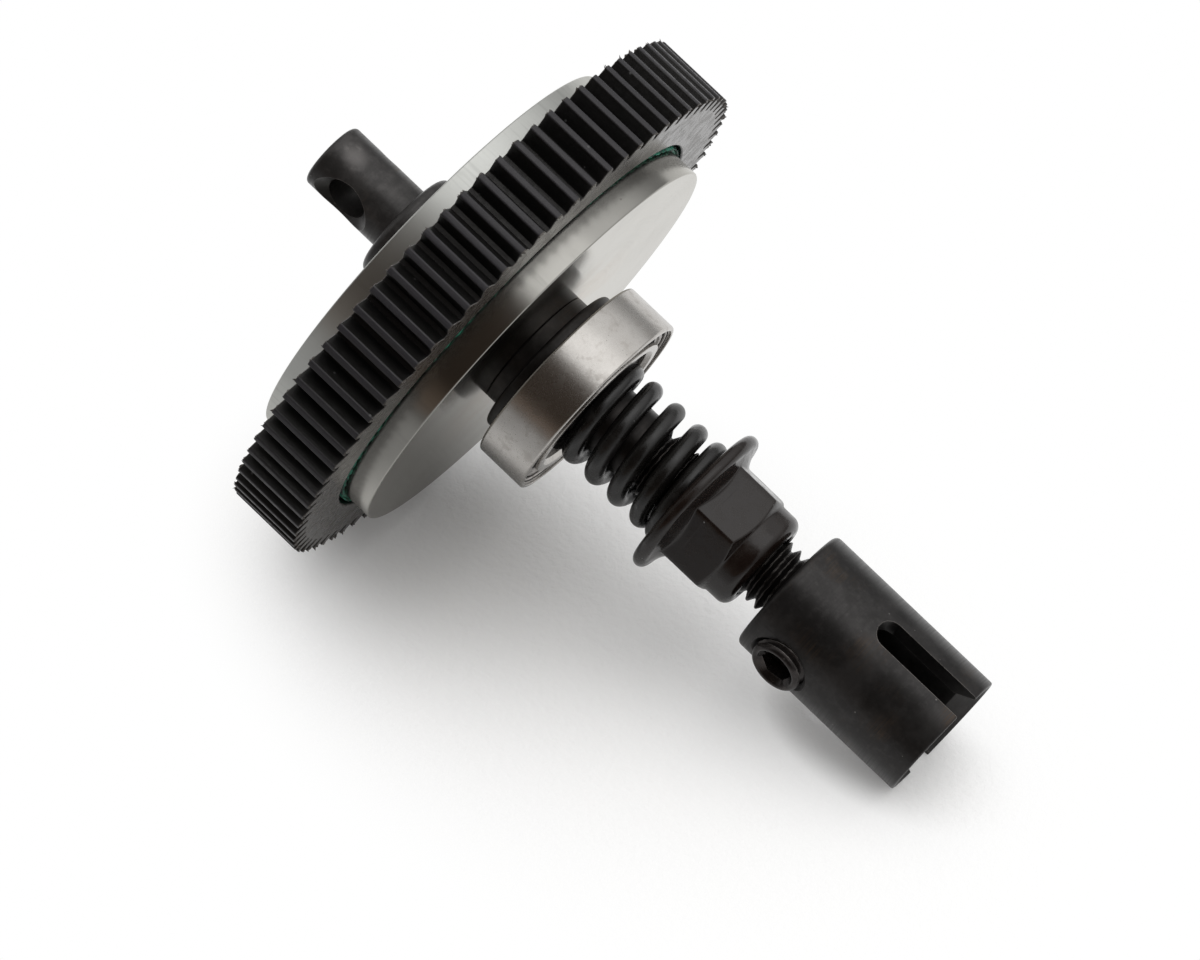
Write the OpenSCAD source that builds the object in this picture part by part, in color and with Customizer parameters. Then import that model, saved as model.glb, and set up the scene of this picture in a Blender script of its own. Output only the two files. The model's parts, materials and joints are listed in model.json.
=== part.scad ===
// Slipper clutch of a small gearbox: a spur gear held between two steel plates by friction
// pads, pressed together by a coil spring and a lock nut, with a drive cup on the shaft's end.
// Each piece is modelled along +Z, with the middle of the bearing at zero and the cup above
// it, and is then laid down as the clutch rests: on its gear's front rim and its cup's mouth.

/* [Shaft] */
// Diameter of the shaft, and of its thread
shaft_d = 5; // [4.8:0.05:5.2]
// Length of the bare shaft end behind the collar
tail_len = 6.9; // [6.5:0.1:12]
// Bevel on the shaft's ends
shaft_bevel = 0.25; // [0.1:0.05:0.4]
// Diameter of the cross hole in the shaft's bare end
cross_hole_d = 3.15; // [2:0.05:3.4]
// Diameter of the countersink of the cross hole
countersink_d = 4.7; // [3.8:0.1:4.8]
// Distance from the shaft's end to the cross hole
cross_hole_inset = 3.1; // [2.8:0.1:3.4]
// Diameter of the collar that the rear plate bears on
collar_d = 8.4; // [8:0.1:12]
// Length of the collar
collar_len = 2.7; // [1.5:0.1:5]
// Rounding of the collar's outer corner
collar_round = 0.5; // [0.2:0.1:1]
// Diameter of the flatted length that turns the plates
key_d = 7; // [6.6:0.1:7.6]
// Width across the two flats of that length
key_flat = 6; // [5.6:0.1:6.4]
// How far the flatted length stops short of the front plate's outer face
key_short = 0.5; // [0.2:0.1:1]

/* [Gear] */
// Number of teeth
teeth = 78; // [74:1:90]
// Module, which is the pitch diameter over the number of teeth (48 teeth an inch)
gear_module = 0.52917; // [0.52:0.005:0.6]
// Pressure angle of the teeth
pressure_angle = 20; // [14.5:0.5:22]
// Width of the gear's teeth
gear_w = 5.6; // [4.8:0.1:8]
// Wall of the bush that the gear turns on
bush_wall = 1.5; // [1:0.1:2.5]

/* [Plates and pads] */
// Diameter of both pressure plates
plate_d = 32.2; // [28:0.1:34]
// Thickness of each pressure plate
plate_t = 2.3; // [1.5:0.1:3]
// Bevel on the plates' edges
plate_bevel = 0.12; // [0.05:0.01:0.25]
// Thickness of each friction pad
pad_t = 1; // [0.6:0.1:1.4]
// Hole in each friction pad
pad_hole_d = 14; // [12:0.5:20]
// How far each pad reaches past the plate's edge
pad_margin = 0.4; // [0.2:0.1:0.8]
// How deep each plate sits inside the gear's face recess
plate_sink = 0.25; // [0.1:0.05:0.6]

/* [Thrust hub] */
// Diameter of the hub's neck, against the front plate
neck_d = 9.1; // [8.6:0.1:10]
// Length of the neck
neck_len = 1.15; // [0.8:0.05:3]
// Thickness of the hub's flange, against the bearing
flange_t = 0.95; // [0.6:0.05:2]
// How far the flange reaches past the bearing's inner ring
flange_lap = 0.07; // [0.02:0.01:0.15]
// Rounding of the flange's edge
flange_round = 0.3; // [0.1:0.05:0.4]
// How far the hub's end stays inside the bearing
hub_inset = 0.55; // [0.3:0.05:1]

/* [Bearing] */
// Bore of the ball bearing
bearing_bore = 10; // [9.8:0.1:10.5]
// Outer diameter of the ball bearing
bearing_od = 15; // [14.9:0.1:16]
// Width of the ball bearing
bearing_w = 4; // [3.6:0.1:5]
// Ball diameter, as a share of the gap between the bearing's bore and its outside
ball_share = 0.56; // [0.48:0.01:0.6]
// Number of balls
ball_count = 12; // [8:1:16]
// Depth of each ring's groove, as a share of the ball diameter
groove_share = 0.2; // [0.12:0.01:0.22]
// Rim of the ball cage beside each ball's pocket
cage_rim = 0.25; // [0.15:0.05:0.35]
// Gap between the ball cage and each ring
cage_gap = 0.22; // [0.15:0.01:0.28]
// Thickness of each shield
shield_t = 0.2; // [0.15:0.05:0.3]
// Width of the snap wire that holds each shield
wire_w = 0.3; // [0.2:0.05:0.35]
// Width of the outer ring's face between the snap wire and the ring's shoulder
wire_ledge = 0.05; // [0.02:0.01:0.1]
// Depth of the snap wire's step in the outer ring
shield_step = 0.42; // [0.36:0.01:0.5]
// Bevel on the bearing's corners
bearing_bevel = 0.2; // [0.1:0.05:0.3]

/* [Spring] */
// Thickness of the spring's wire
wire_d = 1.4; // [1.1:0.05:1.5]
// Gap between the shaft and the spring's inside
spring_gap = 0.175; // [0.1:0.005:0.25]
// Length of the spring as the nut holds it
spring_len = 9.2; // [8.4:0.1:11]
// Number of working turns
active_turns = 3.1; // [2.6:0.1:3.4]
// Number of closed turns at each end, ground flat
closed_turns = 0.95; // [0.8:0.05:1]
// Gap between a closed turn and its neighbour
closed_gap = 0.05; // [0.02:0.01:0.1]
// Direction of the wire's first end around the shaft
spring_start = 305; // [0:1:359]

/* [Lock nut] */
// Width across the nut's flats
nut_af = 7.95; // [7.6:0.05:9]
// Diameter of the nut's flange
nut_flange_d = 11.84; // [10.5:0.1:14]
// Thickness of the flange's rim
nut_rim_t = 1.05; // [0.6:0.05:1.3]
// Height at which the cone of the flange meets the flats
nut_cone_h = 1.8; // [1.5:0.1:2.4]
// Height of the flats' top edge
nut_hex_h = 5; // [4:0.1:6]
// Height of the chamfer on the corners of the flats
nut_chamfer = 0.35; // [0.2:0.05:0.6]
// How far inside the flats that chamfer ends
nut_chamfer_inset = 0.05; // [0.02:0.01:0.1]
// Height of the nut with its nylon collar
nut_h = 6.95; // [6.6:0.05:8]
// Diameter of the collar that holds the nylon ring
nut_collar_d = 7.65; // [7.4:0.05:8.4]
// Rounding of the collar's end
nut_collar_round = 0.8; // [0.5:0.1:1]
// Diameter of the nylon ring
insert_d = 6.4; // [6:0.05:6.6]
// Thickness of the nylon ring
insert_t = 1.3; // [0.8:0.1:1.5]
// Lip of the collar, folded over the nylon ring
insert_lip = 0.35; // [0.2:0.05:0.5]
// Gap between that lip and the shaft
lip_gap = 0.3; // [0.1:0.05:0.5]
// Turn of the nut's corners around the shaft
nut_turn = 35.4; // [0:0.1:59.9]

/* [Drive cup] */
// Outer diameter of the cup
cup_d = 9.8; // [9.2:0.1:12]
// Length of the cup
cup_len = 14.5; // [14:0.1:18]
// Gap between the nut and the cup
cup_gap = 2.1; // [2.02:0.02:5]
// Diameter of the cup's socket
socket_d = 7; // [6.4:0.1:7.6]
// Depth of the socket
socket_depth = 8.3; // [8:0.1:8.8]
// Diameter of the cone at the socket's mouth
mouth_d = 9.2; // [8:0.1:9.2]
// Depth of that cone
mouth_depth = 1.4; // [0.8:0.1:2]
// Width of the two slots
slot_w = 2.1; // [1.6:0.1:2.6]
// Length of the slots
slot_len = 8; // [6:0.1:8.6]
// Bevel on the cup's back edge
cup_bevel = 0.4; // [0.1:0.05:0.7]
// Bevel on the mouth's outer edge
mouth_bevel = 0.1; // [0.05:0.01:0.2]

/* [Set screw] */
// Diameter of the set screw
screw_d = 4; // [3:0.1:4.2]
// Distance from the cup's back face to the screw
screw_inset = 3.3; // [2.8:0.1:3.5]
// How far the screw stands out of the cup
screw_proud = 0.5; // [0.1:0.05:1]
// Width across the flats of the screw's hexagon socket
key_af = 2; // [1.5:0.1:2.2]
// Depth of the hexagon socket
key_depth = 1.5; // [0.8:0.1:2]
// Bevel on the screw's ends
screw_bevel = 0.4; // [0.2:0.05:0.6]
// Width of the bevel round the screw's hole in the cup
screw_hole_bevel = 0.35; // [0.1:0.05:0.5]

/* [Clearances] */
// Radial gap of a piece that turns on another
run_gap = 0.03; // [0.02:0.005:0.06]
// Gap of a piece that slides over another and is held by it
slip_gap = 0.015; // [0.01:0.005:0.03]
// Gap between the bush's ends and the plates
bush_end_gap = 0.1; // [0.05:0.01:0.2]
// Radial gap between the pads and the gear's recess
recess_gap = 0.2; // [0.1:0.05:0.5]

/* [Hidden] */
$fn = 64;

// How far a cut runs past the face that it opens
cut = 1;

// Places along the shaft, from the bearing toward the rear
hub_flange_z = -bearing_w / 2 - flange_t;
front_plate_z = hub_flange_z - neck_len - plate_t;
front_pad_z = front_plate_z - pad_t;
gear_z = front_plate_z + plate_sink - gear_w;
rear_pad_z = gear_z + plate_sink;
rear_plate_z = rear_pad_z - plate_t;
collar_z = rear_plate_z - collar_len;
tail_z = collar_z - tail_len;
key_top_z = front_plate_z + plate_t - key_short;

// Places along the shaft, from the bearing toward the cup
hub_end_z = bearing_w / 2 - hub_inset;
nut_z = hub_end_z + spring_len;
cup_z = nut_z + nut_h + cup_gap;
cup_end_z = cup_z + cup_len;
socket_z = cup_end_z - socket_depth;

// Radii that several pieces share
shaft_r = shaft_d / 2;
plate_r = plate_d / 2;
pad_r = plate_r + pad_margin;
recess_r = pad_r + recess_gap;
recess_depth = pad_t + plate_sink;
bush_bore_r = key_d / 2 + run_gap;
bush_r = bush_bore_r + bush_wall;
cup_r = cup_d / 2;
screw_r = screw_d / 2;

// Teeth of the gear: a tooth's root lies below the pitch circle by this share of the module
root_share = 1.25;
pitch_r = teeth * gear_module / 2;
tip_r = pitch_r + gear_module;
root_r = pitch_r - root_share * gear_module;
base_r = pitch_r * cos(pressure_angle);
flank_steps = 4;

// Rings of the bearing: the balls roll halfway between its bore and its outside
ball_pitch_r = (bearing_bore + bearing_od) / 4;
ball_r = ball_share * (bearing_od - bearing_bore) / 4;
shoulder = ball_r - 2 * ball_r * groove_share;
inner_ring_r = ball_pitch_r - shoulder;
outer_ring_r = ball_pitch_r + shoulder;
cage_t = 2 * (shoulder - cage_gap);
cage_w = 2 * (ball_r + run_gap + cage_rim);
step_r = outer_ring_r + wire_w + wire_ledge;
shield_z = bearing_w / 2 - shield_step;

// Path of the spring's wire
spring_r = shaft_r + spring_gap + wire_d / 2;
closed_rise = closed_turns * (wire_d + closed_gap);
active_rise = spring_len - 2 * closed_rise;
spring_turns = active_turns + 2 * closed_turns;
rings_per_turn = 28;
wire_sides = 12;

// Slope at which the clutch lies: the gear's front rim rests on the two teeth beside its
// lowest gap, and the cup on its mouth, on the two corners beside its lower slot
tip_half_angle = half_tooth_angle(tip_r);
gear_rest_r = tip_r * cos(180 / teeth - tip_half_angle);
cup_rest_r = sqrt(cup_r * cup_r - slot_w * slot_w / 4);
gear_front_z = gear_z + gear_w;
rest_slope = atan((gear_rest_r - cup_rest_r) / (cup_end_z - mouth_bevel - gear_front_z));

// Half the angle that a tooth fills at a given radius, from the involute of its base circle
function involute(a) = tan(a) - a * PI / 180;
function half_tooth_angle(r) =
    90 / teeth + (involute(pressure_angle) - involute(acos(base_r / r))) * 180 / PI;

// Points of an arc, as an outline lists them
function arc(centre, r, from, to, steps = 6) = [
    for (i = [0:steps]) let (a = from + (to - from) * i / steps)
        [centre[0] + r * cos(a), centre[1] + r * sin(a)]
];

// Height of the wire's centre line above the hub, after so many turns
function wire_height(turn) =
    turn < closed_turns ? turn * closed_rise / closed_turns
    : turn > closed_turns + active_turns
        ? spring_len - (spring_turns - turn) * closed_rise / closed_turns
    : closed_rise + (turn - closed_turns) * active_rise / active_turns;

// Turn a piece from its own upright axis onto the resting slope
module laid_down() {
    rotate([0, 90 + rest_slope, 0]) children();
}

// A ring of rectangular section
module ring(r_in, r_out, h) {
    rotate_extrude() translate([r_in, 0]) square([r_out - r_in, h]);
}

// Round section with two flats, which the plates share with the shaft
module key_section(gap) {
    intersection() {
        circle(d = key_d + 2 * gap);
        square([key_flat + 2 * gap, key_d + cut], center = true);
    }
}

module shaft() {
    color("dimgray") laid_down() difference() {
        union() {
            rotate_extrude() polygon(concat(
                [[0, tail_z], [shaft_r - shaft_bevel, tail_z], [shaft_r, tail_z + shaft_bevel],
                 [shaft_r, collar_z]],
                arc([collar_d / 2 - collar_round, collar_z + collar_round], collar_round, -90, 0),
                [[collar_d / 2, rear_plate_z], [shaft_r, rear_plate_z],
                 [shaft_r, socket_z - shaft_bevel], [shaft_r - shaft_bevel, socket_z],
                 [0, socket_z]]
            ));
            translate([0, 0, rear_plate_z])
                linear_extrude(key_top_z - rear_plate_z) key_section(0);
        }
        translate([0, 0, tail_z + cross_hole_inset]) rotate([90, 0, 0]) cross_hole();
    }
}

// Cross hole along +Z, with its countersink at the shaft's surface
module cross_hole() {
    sink = (countersink_d - cross_hole_d) / 2;
    cylinder(d = cross_hole_d, h = shaft_d + 2 * cut, center = true);
    translate([0, 0, shaft_r - sink])
        cylinder(d1 = cross_hole_d, d2 = countersink_d, h = sink);
    translate([0, 0, shaft_r]) cylinder(d = countersink_d, h = cut);
}

module pressure_plate() {
    difference() {
        rotate_extrude() polygon([
            [0, 0], [plate_r - plate_bevel, 0], [plate_r, plate_bevel],
            [plate_r, plate_t - plate_bevel], [plate_r - plate_bevel, plate_t], [0, plate_t]
        ]);
        translate([0, 0, -cut]) linear_extrude(plate_t + 2 * cut) key_section(slip_gap);
    }
}

module rear_plate() {
    color("silver") laid_down() translate([0, 0, rear_plate_z]) pressure_plate();
}

module front_plate() {
    color("silver") laid_down() translate([0, 0, front_plate_z]) pressure_plate();
}

module rear_friction_pad() {
    color("seagreen") laid_down() translate([0, 0, rear_pad_z])
        ring(pad_hole_d / 2, pad_r, pad_t);
}

module front_friction_pad() {
    color("seagreen") laid_down() translate([0, 0, front_pad_z])
        ring(pad_hole_d / 2, pad_r, pad_t);
}

// Outline of the gear: up one involute flank of each tooth and down the other
module gear_outline() {
    radii = [for (i = [0:flank_steps]) root_r + (tip_r - root_r) * i / flank_steps];
    points = [
        for (tooth = [0:teeth - 1], side = [-1, 1], i = [0:flank_steps])
            let (
                r = radii[side < 0 ? i : flank_steps - i],
                a = (tooth + 0.5) * 360 / teeth + side * half_tooth_angle(r)
            )
            [r * cos(a), r * sin(a)]
    ];
    polygon(points);
}

module spur_gear() {
    color([0.09, 0.09, 0.1]) laid_down() translate([0, 0, gear_z]) difference() {
        linear_extrude(gear_w) gear_outline();
        translate([0, 0, -cut]) cylinder(r = recess_r, h = recess_depth + cut);
        translate([0, 0, gear_w - recess_depth])
            cylinder(r = recess_r, h = recess_depth + cut);
        translate([0, 0, -cut]) cylinder(r = bush_r, h = gear_w + 2 * cut);
    }
}

module gear_bush() {
    color("goldenrod") laid_down() translate([0, 0, rear_pad_z + bush_end_gap])
        ring(bush_bore_r, bush_r, front_plate_z - rear_pad_z - 2 * bush_end_gap);
}

module thrust_hub() {
    flange_r = inner_ring_r + flange_lap;
    barrel_r = bearing_bore / 2 - slip_gap;
    bore_r = shaft_r + slip_gap;
    color("dimgray") laid_down() rotate_extrude() polygon(concat(
        [[bore_r, front_plate_z + plate_t], [neck_d / 2, front_plate_z + plate_t],
         [neck_d / 2, hub_flange_z]],
        arc([flange_r - flange_round, hub_flange_z + flange_round], flange_round, -90, 0),
        [[flange_r, -bearing_w / 2], [barrel_r, -bearing_w / 2], [barrel_r, hub_end_z],
         [bore_r, hub_end_z]]
    ));
}

// Groove that the balls roll in
module ball_track() {
    translate([ball_pitch_r, 0]) circle(r = ball_r + run_gap);
}

module bearing_inner_race() {
    bore_r = bearing_bore / 2;
    half_w = bearing_w / 2;
    color("silver") laid_down() rotate_extrude() difference() {
        polygon([
            [bore_r, bearing_bevel - half_w], [bore_r + bearing_bevel, -half_w],
            [inner_ring_r, -half_w], [inner_ring_r, half_w],
            [bore_r + bearing_bevel, half_w], [bore_r, half_w - bearing_bevel]
        ]);
        ball_track();
    }
}

module bearing_outer_race() {
    outer_r = bearing_od / 2;
    half_w = bearing_w / 2;
    color("silver") laid_down() rotate_extrude() difference() {
        polygon([
            [step_r, -half_w], [outer_r - bearing_bevel, -half_w],
            [outer_r, bearing_bevel - half_w], [outer_r, half_w - bearing_bevel],
            [outer_r - bearing_bevel, half_w], [step_r, half_w],
            [step_r, shield_z], [outer_ring_r, shield_z],
            [outer_ring_r, -shield_z], [step_r, -shield_z]
        ]);
        ball_track();
    }
}

module bearing_balls() {
    color("gainsboro") laid_down() for (i = [0:ball_count - 1])
        rotate(i * 360 / ball_count) translate([ball_pitch_r, 0, 0]) sphere(r = ball_r);
}

module ball_cage() {
    color("darkkhaki") laid_down() difference() {
        translate([0, 0, -cage_w / 2])
            ring(ball_pitch_r - cage_t / 2, ball_pitch_r + cage_t / 2, cage_w);
        for (i = [0:ball_count - 1])
            rotate(i * 360 / ball_count) translate([ball_pitch_r - cage_t, 0, 0])
                rotate([0, 90, 0]) cylinder(r = ball_r + run_gap, h = 2 * cage_t);
    }
}

// Shield, and the snap wire that holds it in its step
module shield() {
    translate([0, 0, shield_z]) ring(inner_ring_r + 2 * run_gap, step_r, shield_t);
}

module snap_ring() {
    translate([0, 0, shield_z + shield_t])
        ring(step_r - wire_w, step_r, shield_step - shield_t - slip_gap);
}

module bearing_front_shield() {
    color("lightgray") laid_down() shield();
}

module bearing_rear_shield() {
    color("lightgray") laid_down() mirror([0, 0, 1]) shield();
}

module front_snap_ring() {
    color("gray") laid_down() snap_ring();
}

module rear_snap_ring() {
    color("gray") laid_down() mirror([0, 0, 1]) snap_ring();
}

// Coil spring: a round wire swept along its helix, with both ends ground flat
module spring() {
    last = ceil(spring_turns * rings_per_turn);
    points = [
        for (i = [0:last], j = [0:wire_sides - 1])
            let (
                turn = spring_turns * i / last,
                a = spring_start + 360 * turn,
                b = 360 * (j + 0.5) / wire_sides,
                r = spring_r + wire_d / 2 * cos(b),
                z = wire_height(turn) + wire_d / 2 * sin(b)
            )
            [r * cos(a), r * sin(a), hub_end_z + min(max(z, 0), spring_len)]
    ];
    sides = [
        for (i = [0:last - 1], j = [0:wire_sides - 1])
            let (
                k = (j + 1) % wire_sides,
                near = i * wire_sides,
                far = near + wire_sides
            )
            each [[near + j, near + k, far + k], [near + j, far + k, far + j]]
    ];
    ends = [
        [for (j = [wire_sides - 1:-1:0]) j],
        [for (j = [0:wire_sides - 1]) last * wire_sides + j]
    ];
    color("dimgray") laid_down() polyhedron(points, concat(sides, ends));
}

module lock_nut() {
    flange_r = nut_flange_d / 2;
    rim_r = nut_rim_t / 2;
    rim_arc = 70;
    corner_r = nut_af / 2 / cos(30);
    collar_r = nut_collar_d / 2;
    pocket_z = nut_h - insert_lip - insert_t - run_gap;
    color([0.13, 0.13, 0.14]) laid_down() translate([0, 0, nut_z]) difference() {
        union() {
            rotate_extrude() polygon(concat(
                [[0, 0]],
                arc([flange_r - rim_r, rim_r], rim_r, -90, rim_arc),
                [[nut_af / 2, nut_cone_h], [0, nut_cone_h]]
            ));
            intersection() {
                translate([0, 0, rim_r]) rotate(nut_turn)
                    cylinder(r = corner_r, h = nut_hex_h - rim_r, $fn = 6);
                rotate_extrude() polygon([
                    [0, 0], [corner_r, 0], [corner_r, nut_hex_h - nut_chamfer],
                    [nut_af / 2 - nut_chamfer_inset, nut_hex_h], [0, nut_hex_h]
                ]);
            }
            rotate_extrude() polygon(concat(
                [[0, nut_cone_h], [collar_r, nut_cone_h]],
                arc([collar_r - nut_collar_round, nut_h - nut_collar_round],
                    nut_collar_round, 0, 90),
                [[0, nut_h]]
            ));
        }
        translate([0, 0, -cut]) cylinder(r = shaft_r + run_gap, h = nut_h + 2 * cut);
        translate([0, 0, pocket_z])
            cylinder(r = insert_d / 2 + run_gap, h = insert_t + 2 * run_gap);
        translate([0, 0, nut_h - insert_lip - run_gap])
            cylinder(r = shaft_r + lip_gap, h = insert_lip + cut);
    }
}

module nut_insert() {
    color("gainsboro") laid_down()
        translate([0, 0, nut_z + nut_h - insert_lip - insert_t])
            ring(shaft_r + run_gap, insert_d / 2, insert_t);
}

module drive_cup() {
    color("dimgray") laid_down() difference() {
        rotate_extrude() polygon([
            [shaft_r + slip_gap, cup_z], [cup_r - cup_bevel, cup_z],
            [cup_r, cup_z + cup_bevel], [cup_r, cup_end_z - mouth_bevel],
            [cup_r - mouth_bevel, cup_end_z], [mouth_d / 2, cup_end_z],
            [socket_d / 2, cup_end_z - mouth_depth], [socket_d / 2, socket_z],
            [shaft_r + slip_gap, socket_z]
        ]);
        for (side = [0, 180]) rotate(side) slot();
        translate([0, 0, cup_z + screw_inset]) rotate([90, 0, 0]) screw_hole();
    }
}

// One slot of the cup, through the wall on the +X side, with a round end
module slot() {
    round_z = cup_end_z - slot_len + slot_w / 2;
    translate([0, 0, round_z]) rotate([0, 90, 0]) cylinder(d = slot_w, h = cup_d);
    translate([0, -slot_w / 2, round_z]) cube([cup_d, slot_w, slot_len]);
}

// Hole of the set screw along +Z, with a bevelled mouth at the cup's surface
module screw_hole() {
    cylinder(r = screw_r + slip_gap, h = cup_d);
    translate([0, 0, cup_r - screw_hole_bevel])
        cylinder(r1 = screw_r, r2 = screw_r + 2 * screw_hole_bevel, h = 2 * screw_hole_bevel);
}

module set_screw() {
    tip = shaft_r + slip_gap;
    head = cup_r + screw_proud;
    color([0.13, 0.13, 0.14]) laid_down()
        translate([0, 0, cup_z + screw_inset]) rotate([90, 0, 0]) difference() {
            rotate_extrude() polygon([
                [0, tip], [screw_r - screw_bevel, tip], [screw_r, tip + screw_bevel],
                [screw_r, head - screw_bevel], [screw_r - screw_bevel, head], [0, head]
            ]);
            translate([0, 0, head - key_depth])
                cylinder(r = key_af / 2 / cos(30), h = key_depth + cut, $fn = 6);
        }
}

shaft();
rear_plate();
rear_friction_pad();
spur_gear();
gear_bush();
front_friction_pad();
front_plate();
thrust_hub();
bearing_inner_race();
bearing_outer_race();
bearing_balls();
ball_cage();
bearing_rear_shield();
bearing_front_shield();
rear_snap_ring();
front_snap_ring();
spring();
lock_nut();
nut_insert();
drive_cup();
set_screw();
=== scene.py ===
import json
import math
import random

import bmesh
import bpy
from mathutils import Matrix, Vector


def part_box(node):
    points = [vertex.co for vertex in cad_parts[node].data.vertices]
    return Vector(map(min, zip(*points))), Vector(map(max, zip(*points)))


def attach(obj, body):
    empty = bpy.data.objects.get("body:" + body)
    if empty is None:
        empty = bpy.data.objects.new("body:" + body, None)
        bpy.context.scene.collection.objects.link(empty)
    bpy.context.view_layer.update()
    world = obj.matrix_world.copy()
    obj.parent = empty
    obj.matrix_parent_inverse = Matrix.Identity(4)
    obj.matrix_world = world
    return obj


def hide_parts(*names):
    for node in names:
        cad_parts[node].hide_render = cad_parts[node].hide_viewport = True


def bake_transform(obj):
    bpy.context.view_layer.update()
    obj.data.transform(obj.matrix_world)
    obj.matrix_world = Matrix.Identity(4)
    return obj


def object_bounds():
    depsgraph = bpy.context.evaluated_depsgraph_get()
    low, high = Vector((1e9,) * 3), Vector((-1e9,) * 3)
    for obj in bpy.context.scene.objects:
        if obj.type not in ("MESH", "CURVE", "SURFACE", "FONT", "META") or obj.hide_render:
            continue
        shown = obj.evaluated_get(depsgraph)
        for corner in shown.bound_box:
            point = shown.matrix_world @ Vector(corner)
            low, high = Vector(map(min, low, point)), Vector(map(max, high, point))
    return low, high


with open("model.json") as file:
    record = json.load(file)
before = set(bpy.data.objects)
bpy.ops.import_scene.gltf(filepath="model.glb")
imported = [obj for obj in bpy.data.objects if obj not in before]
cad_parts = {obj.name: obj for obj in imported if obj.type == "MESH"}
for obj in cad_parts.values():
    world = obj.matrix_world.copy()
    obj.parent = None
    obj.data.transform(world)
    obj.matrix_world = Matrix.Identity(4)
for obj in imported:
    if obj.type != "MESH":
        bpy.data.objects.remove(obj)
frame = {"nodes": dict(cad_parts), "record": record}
cad_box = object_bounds()

# Shaft
# One bar of steel, turned and blackened: a bare end with a countersunk cross hole, a collar that
# the rear plate bears on, a length with two flats that turns the plates, and a thread that runs
# from inside the spring into the cup.

# Every piece is drawn upright round the shaft's own axis, in millimetres, with the middle of the
# bearing at zero and the cup above it. One matrix lays it down as the row's frame has it, and
# the other stands it up again.
mounts = {mount["name"]: mount for mount in frame["record"]["mounts"]}
along = Vector(mounts["bearing_seat"]["axis"]).normalized()
sideways = Vector((0, 1, 0))
upright = Matrix((sideways.cross(along), sideways, along)).transposed().to_4x4()
laid_down = upright @ Matrix.Scale(0.001, 4)
stood_up = laid_down.inverted()
scene = bpy.context.scene


def reach(node):
    """Lowest and highest place of a CAD node along the shaft, and its largest radius"""
    points = [stood_up @ v.co for v in frame["nodes"][node].data.vertices]
    heights = [p.z for p in points]
    return min(heights), max(heights), max(p.xy.length for p in points)


def rounded(corners, steps=5):
    """Outline through corners (radius, height, rounding), with each corner rounded off"""
    outline = []
    for before, here, after in zip(corners[-1:] + corners[:-1], corners, corners[1:] + corners[:1]):
        tip = Vector(here[:2])
        if here[2] == 0:
            outline.append(tuple(tip))
            continue
        back = (Vector(before[:2]) - tip).normalized()
        ahead = (Vector(after[:2]) - tip).normalized()
        half = back.angle(ahead) / 2
        centre = tip + (back + ahead).normalized() * here[2] / math.sin(half)
        first = tip + back * here[2] / math.tan(half) - centre
        last = tip + ahead * here[2] / math.tan(half) - centre
        turn = math.atan2(first.x * last.y - first.y * last.x, first.dot(last))
        for i in range(steps + 1):
            a = turn * i / steps
            outline.append((
                centre.x + first.x * math.cos(a) - first.y * math.sin(a),
                centre.y + first.x * math.sin(a) + first.y * math.cos(a),
            ))
    return outline


def ring(radius, height, sides):
    """Points round the axis, at a radius that may be a function of the angle"""
    if radius == 0:
        return [Vector((0, 0, height))]
    points = []
    for j in range(sides):
        a = math.tau * j / sides
        r = radius(a) if callable(radius) else radius
        points.append(Vector((r * math.cos(a), r * math.sin(a), height)))
    return points


def placed(name, data):
    """An object in the scene, from a mesh, a camera or a lamp"""
    thing = bpy.data.objects.new(name, data)
    scene.collection.objects.link(thing)
    return thing


def skinned(name, rings, closed=False, place=Matrix()):
    """A mesh over rings of points, laid down with the shaft; a ring of one point closes an end"""
    points = []
    starts = []
    for one in rings:
        starts.append(len(points))
        points += [laid_down @ place @ p for p in one]
    faces = []
    for i in range(len(rings) if closed else len(rings) - 1):
        k = (i + 1) % len(rings)
        low, high = len(rings[i]), len(rings[k])
        for j in range(max(low, high)):
            n = j + 1
            corners = (starts[i] + j % low, starts[i] + n % low, starts[k] + n % high, starts[k] + j % high)
            faces.append(tuple(dict.fromkeys(corners)))
    mesh = bpy.data.meshes.new(name)
    mesh.from_pydata(points, [], faces)
    piece = placed(name, mesh)
    edit(piece, lambda b: bmesh.ops.recalc_face_normals(b, faces=b.faces))
    return piece


def edit(piece, change):
    """Run one change on a piece's mesh"""
    b = bmesh.new()
    b.from_mesh(piece.data)
    change(b)
    b.to_mesh(piece.data)
    b.free()


def turned(name, outline, sides, closed=True, place=Matrix()):
    """A piece round the shaft, from its outline of (radius, height), as a lathe would turn it"""
    return skinned(name, [ring(r, z, sides) for r, z in outline], closed, place)


def capped(sections):
    """Sections along a bar, with a point in the middle of each end to close it"""
    first, last = ([sum(s, Vector()) / len(s)] for s in (sections[0], sections[-1]))
    return [first, *sections, last]


def carve(piece, *cutters):
    """Cut other shapes out of a piece, and delete them"""
    for cutter in cutters:
        cut = piece.modifiers.new("cut", "BOOLEAN")
        cut.object = cutter
        cut.solver = "EXACT"
        bpy.context.view_layer.objects.active = piece
        bpy.ops.object.modifier_apply(modifier=cut.name)
        bpy.data.objects.remove(cutter)


def break_edges(piece, width, where):
    """Bevel the sharp edges whose middle, in the upright frame, passes a test"""
    sharp = math.radians(28)

    def bevel(b):
        found = [
            e for e in b.edges
            if len(e.link_faces) == 2 and e.calc_face_angle() > sharp
            and where(stood_up @ ((e.verts[0].co + e.verts[1].co) / 2))
        ]
        bmesh.ops.bevel(
            b, geom=found, offset=width / 1000, segments=2, profile=0.5, affect="EDGES",
            clamp_overlap=True,
        )
    edit(piece, bevel)


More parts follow.
